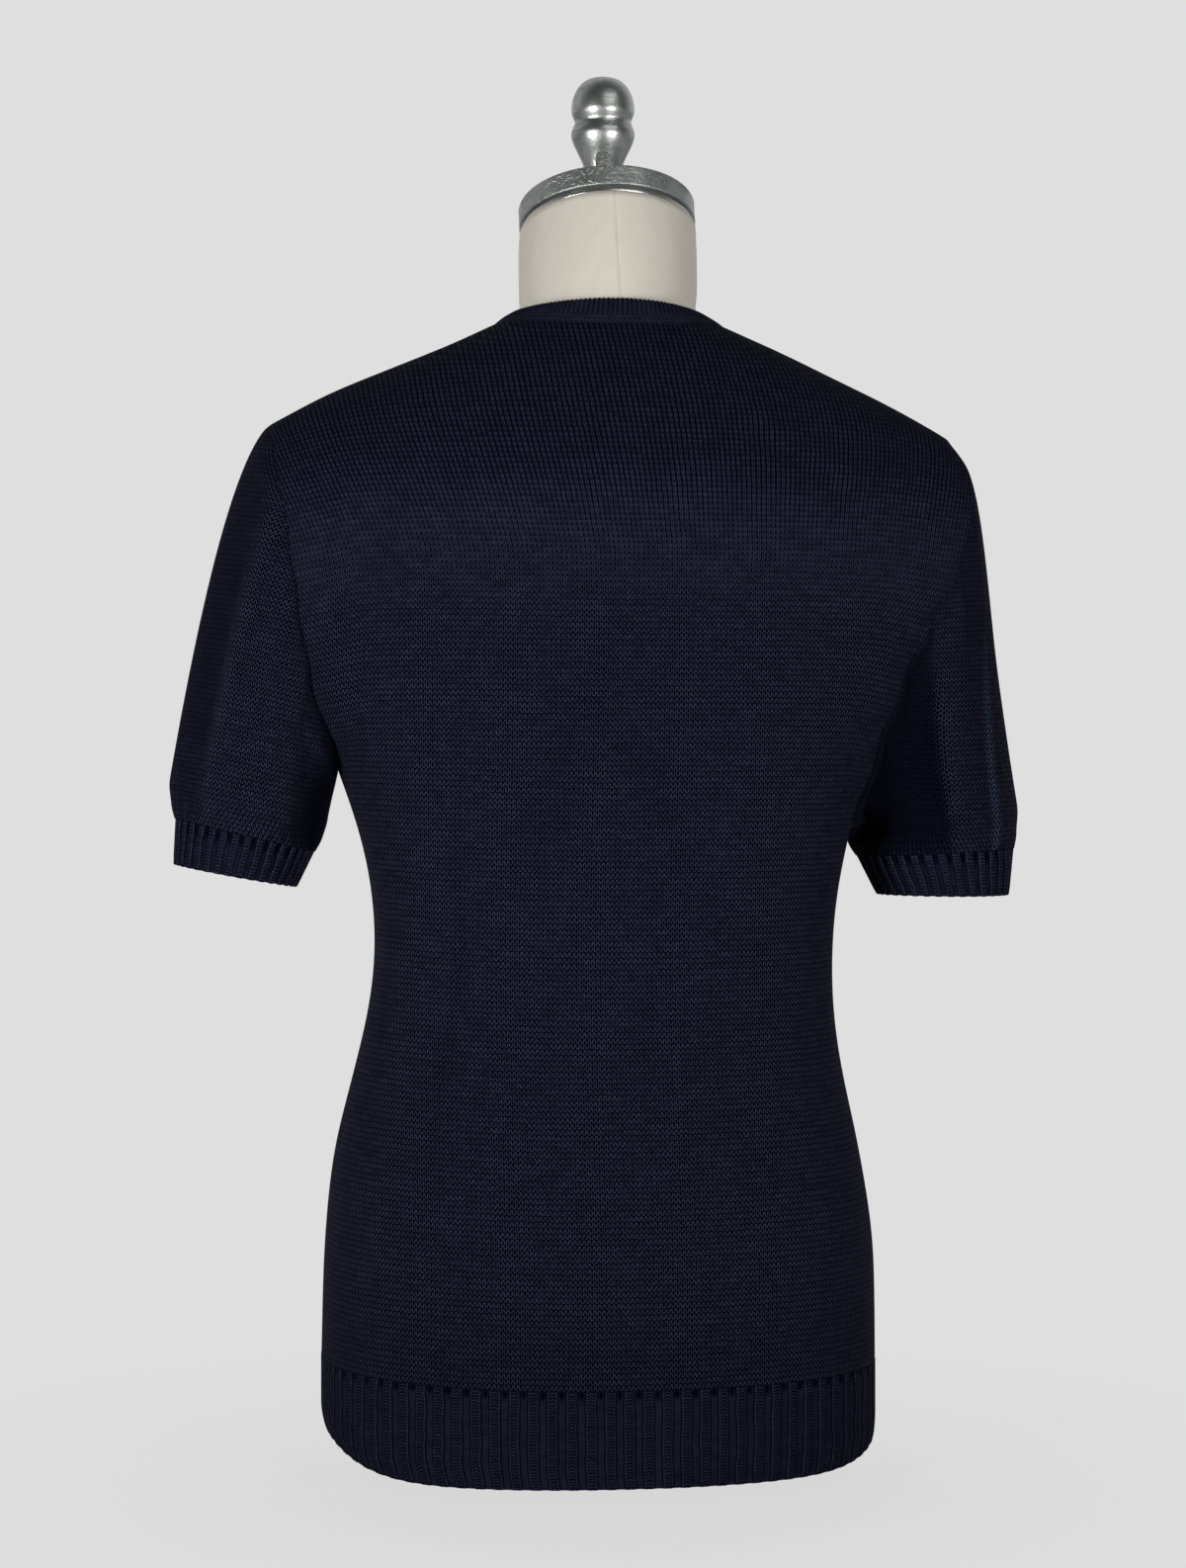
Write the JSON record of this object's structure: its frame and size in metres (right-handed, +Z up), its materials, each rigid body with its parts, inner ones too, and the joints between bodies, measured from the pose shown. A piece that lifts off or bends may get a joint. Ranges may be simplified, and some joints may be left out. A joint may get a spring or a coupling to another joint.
{
  "type": "knitted crew-neck top on a limbless dress form",
  "caption": "Short-sleeved knitted crew-neck top worn by a limbless dress form with a metal neck cap and finial, standing on a low foot.",
  "frame": {"origin": "middle of the foot's underside, on the surface that the form stands on", "axes": "+Z up along the form, -Y the way the wearer faces, +X the wearer's left"},
  "size_m": [0.556, 0.2431, 0.9038],
  "materials": {
    "plain_knit": "matt stockinette knit in dark navy wool",
    "rib_knit": "matt ribbed knit in dark navy wool",
    "form_cloth": "finely woven cream cotton stretched smooth",
    "foot_wood": "satin dark wood",
    "bright_metal": "bright turned metal",
    "cast_metal": "grey cast metal, finely pitted, satin",
    "polished_metal": "polished grey metal"
  },
  "bodies": {
    "root": {"back_panel": "plain_knit", "front_panel": "plain_knit", "sleeve_left": "plain_knit", "sleeve_right": "plain_knit", "neck_rib": "rib_knit", "hem_rib": "rib_knit", "cuff_rib_left": "rib_knit", "cuff_rib_right": "rib_knit", "dress_form": "form_cloth", "form_foot": "foot_wood", "neck_flange": "bright_metal", "neck_cap": "cast_metal", "finial": "polished_metal", "finial_lug": "cast_metal"}
  },
  "joints": []
}
